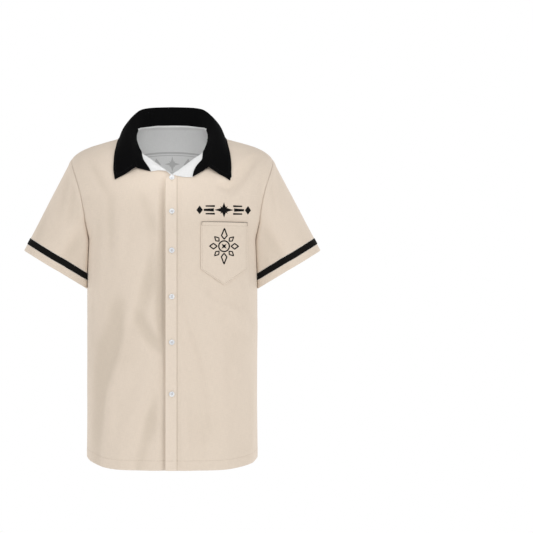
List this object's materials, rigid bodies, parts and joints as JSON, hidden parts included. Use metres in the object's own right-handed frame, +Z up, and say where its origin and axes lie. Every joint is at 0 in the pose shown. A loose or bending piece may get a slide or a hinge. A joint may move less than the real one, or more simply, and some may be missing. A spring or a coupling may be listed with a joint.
{
  "type": "bowling shirt",
  "caption": "Short-sleeved bowling shirt, buttoned and filled out with no wearer: beige cloth, black collar and sleeve stripes, white turned-out lapels, pointed chest pocket.",
  "frame": {"origin": "the point midway between the two high shoulder points, at the base of the neck, where a wearer holds the shirt up", "axes": "+Z up; the front with its buttons faces -Y; +X is the wearer's left, the side with the chest pocket"},
  "size_m": [0.6378, 0.2658, 0.7738],
  "materials": {
    "shirt_cloth": "fine plain-weave shirting, matt, pinkish beige",
    "trim_cloth": "plain-weave shirting, matt black",
    "facing_cloth": "plain-weave shirting, matt white",
    "button": "pearly white, polished"
  },
  "bodies": {
    "root": {"back": "shirt_cloth", "front_left": "shirt_cloth", "front_right": "shirt_cloth", "sleeve_left": "shirt_cloth", "sleeve_right": "shirt_cloth", "sleeve_stripe_left": "trim_cloth", "sleeve_stripe_right": "trim_cloth", "lapel_left": "facing_cloth", "lapel_right": "facing_cloth", "collar": "trim_cloth", "pocket": "shirt_cloth", "button_1": "button", "button_2": "button", "button_3": "button", "button_4": "button", "button_5": "button", "button_6": "button"}
  },
  "joints": []
}
